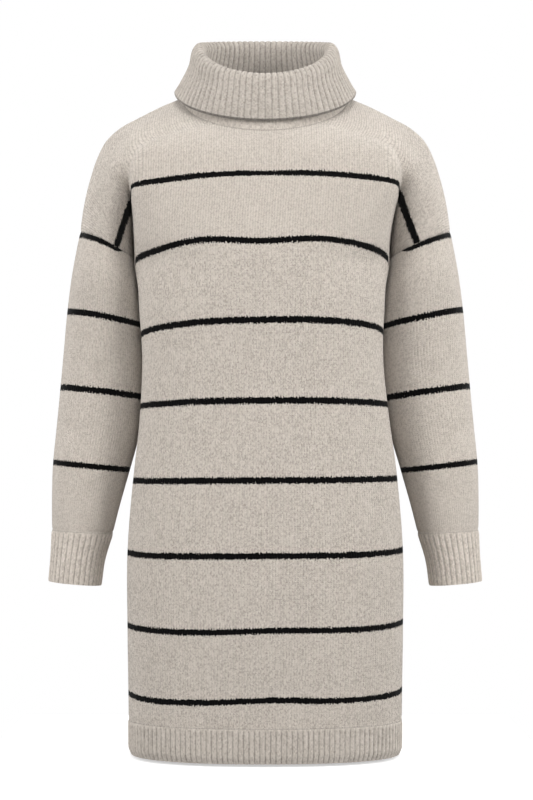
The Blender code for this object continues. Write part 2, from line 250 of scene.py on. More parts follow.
def torso_line(up, front):
    """The half section at +X, from the centre line to the side seam."""
    half_width, reach_front, reach_back, widest = smooth(TORSO, up)
    sine, cosine = bent(np.linspace(0, math.pi, CURVE_POINTS), TORSO_POWER)
    reach = np.where(cosine > 0, reach_front + widest, reach_back - widest)
    line = np.stack([half_width * sine, widest - reach * cosine, np.full(CURVE_POINTS, up)], axis=1)
    seam = int(np.searchsorted(line[:, 1], SIDE_SEAM_Y))
    low, high = line[seam - 1], line[seam]
    side = low + (high - low) * (SIDE_SEAM_Y - low[1]) / (high[1] - low[1])
    if front:
        return np.concatenate([line[:seam], [side]])
    return np.concatenate([[side], line[seam:]])[::-1]


def both_halves(half):
    """A full row from -X to +X, from its half at +X."""
    return np.concatenate([half[:0:-1] * MIRROR, half])


print("half section at the underarm:", round(lengths_along(torso_line(UNDERARM_UP, True))[-1], 4))

# %% [markdown]
# ## Rows of the body
#
# Front and back are each laid out in rows from the right side to the left. Below the underarm a row is
# half of a level ring. Above it a row first crosses the chest, then dives into the fold at the armpit,
# and comes out over the upper arm to the shoulder seam, because a dropped shoulder has no seam there:
# the cloth of the chest and of the upper arm is one piece. The columns are about 3 mm wide, which is
# as fine as a wale of the knitting, so that creases and rolled edges have enough points to be round.
# Where the fold fades away, the rows are calmed: the small waves along them are smoothed out, because
# stitches would show every one of them.

# %% Body rows
EDGE_SHARE = 0.84
FOLD_FROM = 7 / 16
FOLD_TO = 9 / 16
CHEST_COLUMNS = 64
FOLD_COLUMNS = 14
ARM_COLUMNS = 48
BOTTOM = CHEST_COLUMNS + FOLD_COLUMNS
YOKE_ROWS = 80
TORSO_ROWS = 170
SETTLE_AT = 0.12
FADE_STEP = 0.02
ARRIVE_PULL = 0.8
COLLAR_LEAN_AT = 0.05
COLLAR_LEAN_OUT = 0.4
ARMHOLE_LIFT = 0.0125
LIFT_AT = 0.2
LIFT_START = 0.08
CALM_FROM = 0.33
CALM_TO = 0.47
CALM_ROUNDS = 900
CALM_STEPS = (0.5, -0.505)


def fade(at):
    """Falls smoothly from 1 at 0 to 0 at 1."""
    at = np.clip(at, 0.0, 1.0)
    return (1 - at) ** 2 * (1 + 2 * at)


def stretches(stops, counts):
    """Shares that run through the stops, with a number of even steps in each stretch."""
    runs = [
        np.linspace(low, high, count + 1)[1:]
        for low, high, count in zip(stops, stops[1:], counts)
    ]
    return np.concatenate([stops[:1], *runs])


BODY_SHARES = stretches([0.0, EDGE_SHARE, 1.0], [CHEST_COLUMNS, FOLD_COLUMNS])
NECK_SHARES = stretches([0.0, FOLD_FROM, FOLD_TO, 1.0], [CHEST_COLUMNS, FOLD_COLUMNS, ARM_COLUMNS])


def level_half(up, front):
    return resample(torso_line(up, front), BODY_SHARES)


def arm_arc(bottom, ridge, arm):
    """The half ellipse from the fold's bottom round the arm to the shoulder seam."""
    middle = (bottom + ridge) / 2
    sine, cosine = bent(np.linspace(0, math.pi, CURVE_POINTS), ARMHOLE_POWER)
    line = middle + cosine[:, None] * (bottom - middle) + sine[:, None] * (arm - middle)
    arc = resample(line, np.linspace(0, 1, ARM_COLUMNS + 1))
    arc[0] = bottom
    arc[-1] = ridge
    return arc


def guided_half(at, front):
    """Half a row of the yoke, on its guide lines."""
    guides = smooth(FRONT_GUIDES if front else BACK_GUIDES, at)
    centre = np.array([0.0, guides[0], guides[1]])
    edge, bottom, arm = guides[2:5], guides[5:8], guides[8:11]
    out, up = smooth(SHOULDER, at)
    sine, cosine = bent(np.linspace(0, math.pi / 2, CURVE_POINTS), TORSO_POWER)
    across = edge[0] * sine
    depth = edge[1] + (centre[1] - edge[1]) * cosine
    height = centre[2] + sine ** 2 * (edge[2] - centre[2])
    chest = resample(np.stack([across, depth, height], axis=1), np.linspace(0, 1, CHEST_COLUMNS + 1))
    fold = edge + (bottom - edge) * np.linspace(0, 1, FOLD_COLUMNS + 1)[1:, None]
    arc = arm_arc(bottom, np.array([out, 0.0, up]), arm)
    if front:
        across = (arc[:, 0] - bottom[0]) / (out - bottom[0])
        straight = bottom[2] + ARMHOLE_LIFT + across * (up - bottom[2] - ARMHOLE_LIFT)
        pull = fade(at / LIFT_AT) * (1 - fade(np.linspace(0, 1, ARM_COLUMNS + 1) / LIFT_START))
        arc[:, 2] += pull * (straight - arc[:, 2])
    return np.concatenate([chest, fold, arc[1:]])


def low_yoke_half(at, front):
    """A guided row, which settles onto the body's level ring at the underarm."""
    row = guided_half(at, front)
    settle = fade(at / SETTLE_AT)
    if settle > 0:
        change = level_half(UNDERARM_UP, front) - guided_half(0.0, front)[: BOTTOM + 1]
        row[: BOTTOM + 1] += change * settle
        row[BOTTOM + 1 :] += change[-1] * settle * np.linspace(1, 0, ARM_COLUMNS + 1)[1:, None]
    return row


def neck_line(along, front):
    """Half of one of the collar's tilted rings, from the centre line to the shoulder point."""
    out, reach_front, reach_back, front_up, side_up, back_up = smooth(COLLAR, along)
    reach, end_up = (-reach_front, front_up) if front else (reach_back, back_up)
    angle = np.linspace(0, math.pi / 2, CURVE_POINTS)
    height = side_up + (end_up - side_up) * np.cos(angle)
    return np.stack([out * np.sin(angle), reach * np.cos(angle), height], axis=1)


def yoke_half(at, front):
    """Half a row of the yoke: guided below, and above the end of the fold a blend to the neckline."""
    if at <= FADE_AT:
        return low_yoke_half(at, front)
    start = low_yoke_half(FADE_AT, front)
    rise = (start - low_yoke_half(FADE_AT - FADE_STEP, front)) / FADE_STEP * (1 - FADE_AT)
    share = NECK_SHARES[:, None]
    leave = (1 - share) * rise[0] + share * rise[-1]
    end = resample(neck_line(0.0, front), NECK_SHARES)
    lean = resample(neck_line(COLLAR_LEAN_AT, front), NECK_SHARES) - end
    lean[:, 0] *= COLLAR_LEAN_OUT
    arrive = (end - start) * ARRIVE_PULL + lean
    row = glide(start, leave, end, arrive, (at - FADE_AT) / (1 - FADE_AT))
    out, up = smooth(SHOULDER, at)
    row += share ** 3 * (np.array([out, 0.0, up]) - row[-1])
    row[-1] = (out, 0.0, up)
    return row


def calmed(rows):
    """Above the fold, each row is smoothed along its length, without shrinking its wide curve."""
    at = np.linspace(0, 1, len(rows))
    amount = 1 - fade((at - CALM_FROM) / (CALM_TO - CALM_FROM))
    rows = rows.copy()
    for _ in range(CALM_ROUNDS):
        for step in CALM_STEPS:
            padded = np.concatenate([rows[:, 1:2] * MIRROR, rows], axis=1)
            middle = (padded[:, :-2] + padded[:, 2:]) / 2
            rows[:, :-1] += step * amount[:, None, None] * (middle - rows[:, :-1])
    return rows


yokes = {
    front: calmed(np.array([yoke_half(at, front) for at in np.linspace(0, 1, YOKE_ROWS + 1)]))
    for front in (True, False)
}
torso_ups = np.linspace(UNDERARM_UP, HEM_RIB_UP, TORSO_ROWS + 1)
torsos = {front: np.array([level_half(up, front) for up in torso_ups]) for front in (True, False)}
print("half rows of the yoke and of the body:", yokes[True].shape, torsos[True].shape)

# %% [markdown]
# ## Sleeves
#
# A dropped sleeve hangs from the edge of the yoke. Its first ring is that edge, so that the seam closes,
# and the rings settle into rounder ones by a third of the way down, as the cloth does once the seam
# stops holding it.

# %% Sleeve rings
SLEEVE_ROWS = 130
HEAD_SHARE = 0.3


def arm_ring(table, at, side, columns):
    """A ring round the arm, from the underarm over the front to the outside and back behind."""
    outer_x, outer_up, inner_x, inner_up, middle_y, depth = smooth(table, at)
    outer = np.array([outer_x, middle_y, outer_up])
    inner = np.array([inner_x, middle_y, inner_up])
    middle = (outer + inner) / 2
    sine, cosine = bent(np.linspace(0, math.pi, CURVE_POINTS), ARM_POWER)
    forward = np.array([0.0, -depth, 0.0])
    front = resample(
        middle + cosine[:, None] * (inner - middle) + sine[:, None] * forward,
        np.linspace(0, 1, columns + 1),
    )
    back = front * np.array([1.0, -1.0, 1.0]) + np.array([0.0, 2 * middle_y, 0.0])
    return np.concatenate([front, back[-2::-1]]) * np.array([side, 1.0, 1.0])


def sleeve_grid(side):
    front = yokes[True][0, BOTTOM:]
    back = yokes[False][0, BOTTOM:]
    seam = np.concatenate([front, back[-2::-1]]) * np.array([side, 1.0, 1.0])
    change = seam - arm_ring(SLEEVE, 0.0, side, ARM_COLUMNS)
    return np.array([
        arm_ring(SLEEVE, at, side, ARM_COLUMNS) + change * fade(at / HEAD_SHARE)
        for at in np.linspace(0, 1, SLEEVE_ROWS + 1)
    ])


sleeves = {"left": sleeve_grid(1.0), "right": sleeve_grid(-1.0)}
print("sleeve rings:", sleeves["left"].shape)

# %% [markdown]
# ## Where each stitch lies
#
# Knitting is a grid of stitches: wales run along the garment and courses run across it. The stripes
# are whole courses in black yarn, so they follow the cloth and not the outline of the garment. Every
# point of the cloth therefore gets two more numbers, in metres of flat cloth: how far across the
# panel it lies, and how far below the first stripe. On the body the courses are nearly level, and they
# bow over the bust. A table gives the height of each stripe at seven places, from the right edge over
# the centre line to the left edge. Beyond the armpit fold the panel turns with the arm, so the courses
# turn as well and the first stripe comes out of the fold pointing down. There, and above the first
# stripe, no stripe says how the stitches lie. So the numbers are relaxed, like a net that settles
# between its fixed edges, and only the wales between the shoulders are kept upright.

# %% Cloth coordinates
COURSE = 0.0026
WALE = 0.0033
PITCH = 36 * COURSE
SHOULDER_SLOPE = math.radians(14)
PANEL_HALF = 0.315
UPRIGHT_OUT = 0.152
UPRIGHT_SPREAD = 1.05
ARMHOLE_RISE = 0.178
SLEEVE_HALF = 0.165

STRIPE_AT = np.array([-1.0, -0.75, -0.4, 0.0, 0.4, 0.75, 1.0])
STRIPE_UP = np.array([
    # right edge, right side, right of centre, centre, left of centre, left side, left edge
    (-0.1300, -0.1265, -0.1205, -0.1175, -0.1185, -0.1225, -0.1265),
    (-0.2185, -0.2130, -0.2015, -0.2035, -0.2000, -0.2085, -0.2175),
    (-0.3175, -0.3105, -0.3040, -0.3015, -0.3015, -0.3060, -0.3135),
    (-0.4065, -0.4050, -0.4025, -0.4015, -0.4015, -0.4030, -0.4040),
    (-0.5010, -0.5015, -0.5010, -0.5005, -0.5000, -0.4990, -0.4980),
    (-0.5925, -0.5945, -0.5945, -0.5935, -0.5935, -0.5915, -0.5890),
    (-0.6850, -0.6875, -0.6885, -0.6855, -0.6855, -0.6840, -0.6805),
    (-0.7715, -0.7750, -0.7750, -0.7710, -0.7725, -0.7710, -0.7675),
])
# Where the first stripe shows again on the dropped shoulder, as it comes down out of the fold
DROP_STRIPE = {
    # side: out and up of its top end, then of its end on the sleeve seam
    -1: ((0.1705, -0.1450), (0.1875, -0.2030)),
    1: ((0.1715, -0.1330), (0.1985, -0.2050)),
}
DROP_BAND = 0.0085
DROP_PAST_SEAM = 1.25
RELAX_ROUNDS = 4000

# How many metres the courses of a sleeve rise towards its outside
SLEEVE_LEAN = {"left": 0.0030, "right": 0.0}
SLEEVE_STRIPES = np.array([
    # down the sleeve, stripes down
    (0.000, 0.0),
    (0.226, 1.0),
    (0.460, 2.0),
    (0.698, 3.0),
    (1.000, 4.25),
])
# The sleeve seam cuts the cloth a little off the first stripe: the most at the underarm
SEAM_CUT = np.array([
    # round from the underarm, below the stripe
    (0.00, 0.0115),
    (0.15, 0.0060),
    (0.29, 0.0022),
    (0.38, -0.0032),
    (1.00, -0.0040),
])


def stripe_heights(out):
    """Heights of the stripes at places out from the centre line, as shares of the way to the edge."""
    return np.array([curve_through(STRIPE_AT, stripe, out) for stripe in STRIPE_UP])


def depth_below_stripe(up, out):
    """Metres of cloth below the first stripe, for columns of heights at shares of the way out."""
    heights = stripe_heights(out)
    above = heights[:1] + 2 * (heights[:1] - heights[1:2])
    below = heights[-1:] - (heights[-2:-1] - heights[-1:])
    knots = np.concatenate([above, heights, below])
    numbers = np.array([-2, *range(len(STRIPE_UP) + 1)]) * PITCH
    columns = [np.interp(-up[:, column], -knots[:, column], numbers) for column in range(up.shape[1])]
    return np.stack(columns, axis=1)


def torso_cloth(points, side):
    out = side * np.minimum(np.arange(points.shape[1]) / CHEST_COLUMNS, 1.0)
    across = BODY_SHARES * lengths_along(points[0])[-1]
    down = depth_below_stripe(points[:, :, 2], out)
    return np.stack([np.broadcast_to(across, down.shape), down], axis=2)


def means(values):
    """The mean of each row and the next."""
    return (values[1:] + values[:-1]) / 2


def relaxed(points, values, fixed):
    """Values spread evenly over the cloth between the fixed ones, as a stretched net would settle."""
    across_gap = np.linalg.norm(np.diff(points, axis=1), axis=2)
    along_gap = np.linalg.norm(np.diff(points, axis=0), axis=2)
    edge = ((1, 1), (0, 0))
    tall = means(np.pad(along_gap, edge, mode="edge"))
    wide = means(np.pad(across_gap.T, edge, mode="edge")).T
    pull_across = (means(tall.T).T / across_gap)[:, :, None]
    pull_along = (means(wide) / along_gap)[:, :, None]

    def gathered(values):
        """The sum of each point's neighbours, each as strong as its pull."""
        total = np.zeros(values.shape)
        total[:, 1:] += pull_across * values[:, :-1]
        total[:, :-1] += pull_across * values[:, 1:]
        total[1:] += pull_along * values[:-1]
        total[:-1] += pull_along * values[1:]
        return total

    pulls = gathered(np.ones(values.shape))
    for _ in range(RELAX_ROUNDS):
        values = np.where(fixed, values, gathered(values) / pulls)
    return values


def yoke_cloth(points, side):
    """The chest is measured as it lies. Above the first stripe and over the arm the cloth relaxes."""
    rows, columns = points.shape[:2]
    out = side * np.minimum(np.arange(columns) / CHEST_COLUMNS, 1.0)
    fixed = np.zeros((rows, columns, 2), dtype=bool)
    values = np.zeros((rows, columns, 2))
    values[:, :, 0] = [lengths_along(row) for row in points]
    values[:, :, 1] = depth_below_stripe(points[:, :, 2], out)
    climb = np.array([lengths_along(column) for column in points.transpose(1, 0, 2)]).T
    for column, up in enumerate(stripe_heights(out)[0]):
        stripe_climb = np.interp(up, points[:, column, 2], climb[:, column])
        above = climb[:, column] > stripe_climb
        values[above, column, 1] = stripe_climb - climb[above, column]
        fixed[~above, column] = column <= CHEST_COLUMNS
        upright = above & (points[:, column, 0] < UPRIGHT_OUT)
        values[upright, column, 0] = points[upright, column, 0] * UPRIGHT_SPREAD
        fixed[upright, column, 0] = True
    fixed[:, 0] = True

    # The shoulder seam slopes, and the neckline is a quarter of a round
    seam_run = lengths_along(points[:, -1])
    neck_across = points[-1, :, 0] * UPRIGHT_SPREAD
    values[:, -1, 0] = PANEL_HALF + (neck_across[-1] - PANEL_HALF) * seam_run / seam_run[-1]
    values[:, -1, 1] = values[0, CHEST_COLUMNS, 1] - ARMHOLE_RISE - seam_run * math.sin(SHOULDER_SLOPE)
    fixed[:, -1] = True
    values[-1, :, 0] = neck_across
    neck_drop = values[-1, 0, 1] - values[-1, -1, 1]
    values[-1, :, 1] = values[-1, -1, 1] + neck_drop * np.cos(np.linspace(0, math.pi / 2, columns))
    fixed[-1] = True

    # Round the armhole the cloth widens fast and then more slowly
    low = values[0, BOTTOM, 0]
    round_arm = np.linspace(0, 1, columns - BOTTOM)
    values[0, BOTTOM:, 0] = low + (PANEL_HALF - low) * (1 - (1 - round_arm) ** 3)
    fixed[0, BOTTOM:, 0] = True

    # Beyond the chest the relaxing starts from straight lines, drawn to the shoulder seam
    share = np.linspace(0, 1, columns - CHEST_COLUMNS)[None, 1:-1, None]
    edge, seam = values[:-1, CHEST_COLUMNS, None], values[:-1, -1, None]
    lines = edge + (seam - edge) * share
    values[1:-1, CHEST_COLUMNS + 1 : -1] = lines[1:]
    values[0, CHEST_COLUMNS + 1 : -1, 1] = lines[0, :, 1]

    # The first stripe, where it shows again beyond the fold
    top, end = np.array(DROP_STRIPE[side])
    way = end - top
    places = points[:, :, [0, 2]] - top
    along = (places @ way) / (way @ way)
    beside = (places[:, :, 0] * way[1] - places[:, :, 1] * way[0]) / np.linalg.norm(way)
    on_band = (np.abs(beside) < DROP_BAND) & (along > 0) & (along < DROP_PAST_SEAM)
    on_band[:, : BOTTOM + 1] = False
    values[on_band, 1] = beside[on_band]
    fixed[on_band, 1] = True
    return relaxed(points, values, fixed)


def sleeve_cloth(points, lean):
    rows, columns = points.shape[:2]
    at = np.linspace(0, 1, rows)[:, None]
    across = np.broadcast_to(np.linspace(-SLEEVE_HALF, SLEEVE_HALF, columns), (rows, columns))
    down = np.interp(at, SLEEVE_STRIPES[:, 0], SLEEVE_STRIPES[:, 1]) * PITCH
    round_from_underarm = 1 - np.abs(np.linspace(-1, 1, columns))[None, :]
    cut = np.interp(round_from_underarm, SEAM_CUT[:, 0], SEAM_CUT[:, 1])
    start = fade(at / SLEEVE_STRIPES[1, 0])
    out = points[:, :, 0] - points[:, :, 0].mean(axis=1, keepdims=True)
    out = out / np.abs(out).max(axis=1, keepdims=True)
    return np.stack([across, down + cut * start + lean * out * (1 - start) * (1 - at)], axis=2)


def both_sides(unroll, half):
    """The cloth coordinates of full rows, whose right and left sides are unrolled in turn."""
    right, left = unroll(half, -1), unroll(half, 1)
    return np.concatenate([right[:, :0:-1] * MIRROR[:2], left], axis=1)


patches = []
for piece, front in (("front", True), ("back", False)):
    for half, unroll in ((yokes[front], yoke_cloth), (torsos[front], torso_cloth)):
        rows = np.array([both_halves(row) for row in half])
        patches.append((piece, rows, both_sides(unroll, half)))
for side, rings in sleeves.items():
    patches.append((f"sleeve_{side}", rings, sleeve_cloth(rings, SLEEVE_LEAN[side])))
for piece, points, cloth in patches:
    print(piece, points.shape, "cloth", cloth.min(axis=(0, 1)).round(3), cloth.max(axis=(0, 1)).round(3))

# %% [markdown]
# ## One joined surface
#
# The patches are now welded where they meet. Working on one surface is what makes the seams believable:
# a crease can run across them, and both pieces of a seam bend the same way. Some rounds of smoothing
# take off the hard lines where a curve ended, such as the lip of the armpit fold. Plain smoothing
# shrinks a surface, so each round here is followed by a slightly stronger one that pushes back out.
# The open edges stay put, because the ribbing has to meet them.

# %% Weld and smooth
SMOOTHING_ROUNDS = 24
SMOOTH_IN = 0.50
SMOOTH_OUT = -0.53


def grid_quads(rows, columns, closed=False):
    """The corners of a grid's quads, as numbers of its points."""
    row, column = np.meshgrid(
        np.arange(rows - 1),
        np.arange(columns if closed else columns - 1),
        indexing="ij",
    )
    near = row * columns + column
    far = row * columns + (column + 1) % columns
    return np.stack([near, far, far + columns, near + columns], axis=-1).reshape(-1, 4)


def corner_values(values):
    """The values of a grid of points, at the corners of its quads."""
    corners = (values[:-1, :-1], values[:-1, 1:], values[1:, 1:], values[1:, :-1])
    return np.stack(corners, axis=2).reshape(-1, 4, values.shape[2])


def quad_normals(points, quads):
    a, b, c, d = (points[quads[:, corner]] for corner in range(4))
    return np.cross(c - a, d - b)


def point_normals(points, quads):
    faces = quad_normals(points, quads)
    normals = np.zeros_like(points)
    for corner in range(4):
        for axis in range(3):
            normals[:, axis] += np.bincount(quads[:, corner], faces[:, axis], len(points))
    return normals / np.linalg.norm(normals, axis=1, keepdims=True)


def joined(patches):
    """The patches as one welded surface that faces outwards: points, quads, owners and cloth corners."""
    all_points, all_quads, owners, corners = [], [], [], []
    count = 0
    for name, points, cloth in patches:
        quads = grid_quads(*points.shape[:2])
        flat = points.reshape(-1, 3)
        inside = np.repeat(points.mean(axis=1), points.shape[1], axis=0)
        outward = (quad_normals(flat, quads) * (flat - inside)[quads[:, 0]]).sum()
        values = corner_values(cloth)
        if outward < 0:
            quads = quads[:, ::-1]
            values = values[:, ::-1]
        all_points.append(flat)
        all_quads.append(quads + count)
        owners += [name] * len(quads)
        corners.append(values)
        count += len(flat)
    keys = np.round(np.concatenate(all_points), 6)
    _, first, index = np.unique(keys, axis=0, return_index=True, return_inverse=True)
    quads = index.reshape(-1)[np.concatenate(all_quads)]
    return np.concatenate(all_points)[first], quads, np.array(owners), np.concatenate(corners)


def edges_of(quads):
    """The edges of all quads as pairs of points, the first of each edge, and how many quads share it."""
    pairs = np.stack([quads, np.roll(quads, -1, axis=1)], axis=2).reshape(-1, 2)
    _, first, uses = np.unique(np.sort(pairs, axis=1), axis=0, return_index=True, return_counts=True)
    return pairs, first, uses


def smoothed(points, quads, is_open):
    pairs, first, _ = edges_of(quads)
    low, high = np.sort(pairs[first], axis=1).T
    ends = np.concatenate([low, high])
    others = np.concatenate([high, low])
    neighbours = np.bincount(ends, minlength=len(points))[:, None]
    free = (~is_open)[:, None]
    points = points.copy()
    for _ in range(SMOOTHING_ROUNDS):
        for step in (SMOOTH_IN, SMOOTH_OUT):
            sums = [np.bincount(ends, points[others, axis], len(points)) for axis in range(3)]
            points += (np.stack(sums, axis=1) / neighbours - points) * step * free
    return points


points, quads, owners, cloth_corners = joined(patches)
pairs, first, uses = edges_of(quads)
open_edge = np.zeros(len(points), dtype=bool)
open_edge[pairs[first[uses == 1]]] = True
print("points:", len(points), "quads:", len(quads), "open edges:", int((uses == 1).sum()))
before = points
points = smoothed(points, quads, open_edge)
print("smoothing moved the cloth by up to, mm:", round(1000 * np.abs(points - before).max(), 2))

# %% [markdown]
# ## Creases, leans and seams
#
# A thick, springy knit hangs nearly plain, with a few soft pulls where it is held: from the armpit
# towards the bust, round the elbow, and long shallow swings in the skirt. Real ones are never alike, so
# each is listed with its own length, width and depth. A crease is a line on the front, back or side
# view. Points near the line sink in (or rise, with a negative depth), and the effect dies away
# smoothly at both ends. Seams are treated in the same way: the cloth dips by a millimetre where it is
# sewn, because the stitches pull it in. The trunk also leans a little to one side between the arms.

# %% Creases
CREASES = {
    "front": np.array([
        # start x, up,     end x,   up,     width,  depth
        (-0.1480, -0.2300, -0.0900, -0.1950, 0.0090, 0.0014),
        (0.1460, -0.2240, 0.0950, -0.2020, 0.0080, 0.0012),
        (-0.1460, -0.2900, -0.0950, -0.3120, 0.0100, 0.0012),
        (0.1440, -0.3020, 0.1020, -0.3180, 0.0090, 0.0014),
        (-0.1400, -0.1650, -0.1150, -0.1150, 0.0110, 0.0012),
        (0.1420, -0.1600, 0.1200, -0.1200, 0.0100, 0.0012),
        (0.0550, -0.6300, 0.0250, -0.8000, 0.0260, 0.0022),
        (-0.0700, -0.6000, -0.0900, -0.8000, 0.0240, 0.0018),
        (-0.0150, -0.5600, -0.0260, -0.7900, 0.0280, -0.0016),
        (0.1050, -0.5700, 0.1180, -0.8000, 0.0220, -0.0014),
        (-0.1350, -0.4400, -0.1150, -0.5200, 0.0140, 0.0012),
        (0.1320, -0.4600, 0.1120, -0.5500, 0.0150, 0.0010),
        (0.0300, -0.3200, -0.0450, -0.4100, 0.0300, 0.0012),
        (-0.2500, -0.2650, -0.2000, -0.3100, 0.0090, 0.0016),
        (0.2480, -0.2750, 0.2020, -0.3000, 0.0080, 0.0014),
        (-0.1850, -0.3450, -0.2300, -0.3700, 0.0100, 0.0016),
        (0.1900, -0.3550, 0.2350, -0.3650, 0.0090, 0.0014),
        (-0.2620, -0.4250, -0.2100, -0.4500, 0.0110, 0.0018),
        (0.2640, -0.4350, 0.2180, -0.4420, 0.0100, 0.0014),
        (-0.2050, -0.5000, -0.2450, -0.5350, 0.0090, 0.0012),
        (0.2100, -0.5050, 0.2480, -0.5300, 0.0100, 0.0012),
        (-0.2150, -0.1250, -0.1850, -0.1900, 0.0120, 0.0012),
        (0.2120, -0.1300, 0.1880, -0.1800, 0.0110, 0.0010),
    ]),
    "back": np.array([
        (-0.1300, -0.1900, -0.0700, -0.1500, 0.0120, 0.0016),
        (0.1250, -0.2000, 0.0650, -0.1700, 0.0130, 0.0014),
        (-0.0400, -0.3200, 0.0600, -0.3500, 0.0180, 0.0022),
        (0.0300, -0.3700, -0.0700, -0.3950, 0.0160, 0.0018),
        (-0.1300, -0.3300, -0.0800, -0.3500, 0.0120, 0.0014),
        (0.0500, -0.5800, 0.0650, -0.8000, 0.0250, 0.0022),
        (-0.0650, -0.6200, -0.0500, -0.8000, 0.0260, 0.0020),
        (0.0000, -0.5500, 0.0100, -0.7900, 0.0280, -0.0016),
        (-0.2550, -0.3100, -0.2050, -0.3400, 0.0110, 0.0018),
        (0.2560, -0.3000, 0.2080, -0.3350, 0.0100, 0.0018),
        (-0.2600, -0.3700, -0.2150, -0.3900, 0.0120, 0.0020),
        (0.2600, -0.3800, 0.2180, -0.3850, 0.0110, 0.0018),
        (-0.2620, -0.4500, -0.2250, -0.4600, 0.0100, 0.0012),
        (0.2640, -0.4600, 0.2300, -0.4550, 0.0110, 0.0014),
    ]),
}
FACING_SHARPNESS = 2.5
CREASE_TAPER = 0.7
SEAM_DEPTH = 0.0011
SEAM_REACH = 0.0032
HELD_REACH = 0.012
SIDE_LEAN = -0.0044
LEAN_TOP = (-0.20, 0.09)
LEAN_BOTTOM = (-0.27, 0.22)
LEAN_SIDE = (0.168, 0.05)


def near_line(places, start, end):
    """Distance of places from a line, and how far along it they are nearest."""
    way = end - start
    share = np.clip(((places - start) @ way) / (way @ way), 0.0, 1.0)
    return np.linalg.norm(places - start - share[:, None] * way, axis=1), share


def crease_depths(points, normals):
    depth = np.zeros(len(points))
    for view, creases in CREASES.items():
        facing = -normals[:, 1] if view == "front" else normals[:, 1]
        weight = np.clip(facing * FACING_SHARPNESS, 0.0, 1.0)
        for row in creases:
            far, share = near_line(points[:, [0, 2]], row[0:2], row[2:4])
            taper = np.sin(math.pi * np.clip(share, 0.02, 0.98)) ** CREASE_TAPER
            depth += weight * taper * row[5] * np.exp(-((far / row[4]) ** 2))
    return depth


def side_lean(points):
    """How far the trunk leans to the wearer's right. Each limit is where it ends, and how gently."""
    up, out = points[:, 2], np.abs(points[:, 0])
    high = fade((up - LEAN_TOP[0]) / LEAN_TOP[1])
    low = fade((LEAN_BOTTOM[0] - up) / LEAN_BOTTOM[1])
    return SIDE_LEAN * high * low * fade((out - LEAN_SIDE[0]) / LEAN_SIDE[1])


def distances(points, marked):
    """Each point's distance from the nearest marked one."""
    numbers = np.flatnonzero(marked)
    tree = KDTree(len(numbers))
    for number in numbers:
        tree.insert(points[number], int(number))
    tree.balance()
    return np.array([tree.find(point)[2] for point in points])


shared = open_edge.astype(int)
for names in (("front", "back"), ("sleeve_left",), ("sleeve_right",)):
    shared[np.unique(quads[np.isin(owners, names)])] += 1
seam_distance = distances(points, shared > 1)
held = fade(distances(points, open_edge) / HELD_REACH)

normals = point_normals(points, quads)
sink = crease_depths(points, normals) * (1 - held)
sink += SEAM_DEPTH * np.exp(-((seam_distance / SEAM_REACH) ** 2)) * ~open_edge
points = points - normals * sink[:, None]
points[:, 0] += side_lean(points) * (1 - held)
normals = point_normals(points, quads)
print("deepest crease, mm:", round(1000 * sink.max(), 2), "seam points:", int((shared > 1).sum()))

# %% [markdown]
# ## Cutting the pieces
#
# The surface is cut along its seams into the pieces that a knitter would sew: front, back and sleeves.
# Each becomes a closed shell about 2 mm thick, with an inner face and a rim round every open edge, so
# that the neck and the hem show a real wall. The flat cloth coordinates go into a UV map of their own,
# and a second map keeps the distance to the nearest seam, for the material to use.

# %% Make a shell
SHARP_ANGLE = math.radians(60)


def cloth_piece(name, outer, inner, quads, maps):
    """A closed wall with the outer face given by quads. maps holds corner values for each UV map."""
    count = len(outer)
    pairs, first, uses = edges_of(quads)
    rim = first[uses == 1]
    start, end = pairs[rim].T
    rim_quads = np.stack([end, start, start + count, end + count], axis=1)
    faces = np.concatenate([quads, quads[:, ::-1] + count, rim_quads])
    mesh = bpy.data.meshes.new(name)
    mesh.from_pydata(np.concatenate([outer, inner]).tolist(), [], faces.tolist())
    for layer_name, values in maps.items():
        at_start = values.reshape(-1, 2)[rim]
        at_end = np.roll(values, -1, axis=1).reshape(-1, 2)[rim]
        rim_values = np.stack([at_end, at_start, at_start, at_end], axis=1)
        layer = mesh.uv_layers.new(name=layer_name)
        everything = np.concatenate([values, values[:, ::-1], rim_values])
        layer.data.foreach_set("uv", everything.astype(np.float32).ravel())
    mesh.shade_smooth()
    mesh.set_sharp_from_angle(angle=SHARP_ANGLE)
    piece = bpy.data.objects.new(name, mesh)
    bpy.context.scene.collection.objects.link(piece)
    return piece


def surface_area(points, quads):
    return 0.5 * np.linalg.norm(quad_normals(points, quads), axis=1).sum()


pieces = {}
for name in ("front", "back", "sleeve_left", "sleeve_right"):
    mine = owners == name
    used, local = np.unique(quads[mine], return_inverse=True)
    local = local.reshape(-1, 4)
    outer = points[used]
    inner = outer - normals[used] * WALL
    seam = np.stack([seam_distance[quads[mine]], np.zeros((int(mine.sum()), 4))], axis=2)
    maps = {"cloth": cloth_corners[mine], "seam": seam}
    pieces[name] = cloth_piece(f"{name}_cloth", outer, inner, local, maps)
    print(name, "faces:", len(pieces[name].data.polygons), "area:", round(surface_area(outer, local), 4))

# %% [markdown]
# ## Ribbing
#
# Ribbing alternates a column of plain stitches with a column of purl stitches. The purl columns draw
# back, so the surface becomes a row of round ridges with narrow, deep grooves. That is real relief of
# about 1.4 mm and it shows on the outline, so it is modelled and not painted on. Every rib gets eight
# columns of points: a semicircle over the ridge that ends in a sharp groove on both sides. The ribs
# swell up beside the seam, and the hem curls in a little at its edge, as ribbing does.

# %% Ribs
RIB_DEPTH = 0.0014
RIB_COLUMNS = 8
RIB_START = 0.003
RIB_ROUND = 0.0022
RIB_EDGE_FALL = 0.6
RIB_SUNK = 0.45


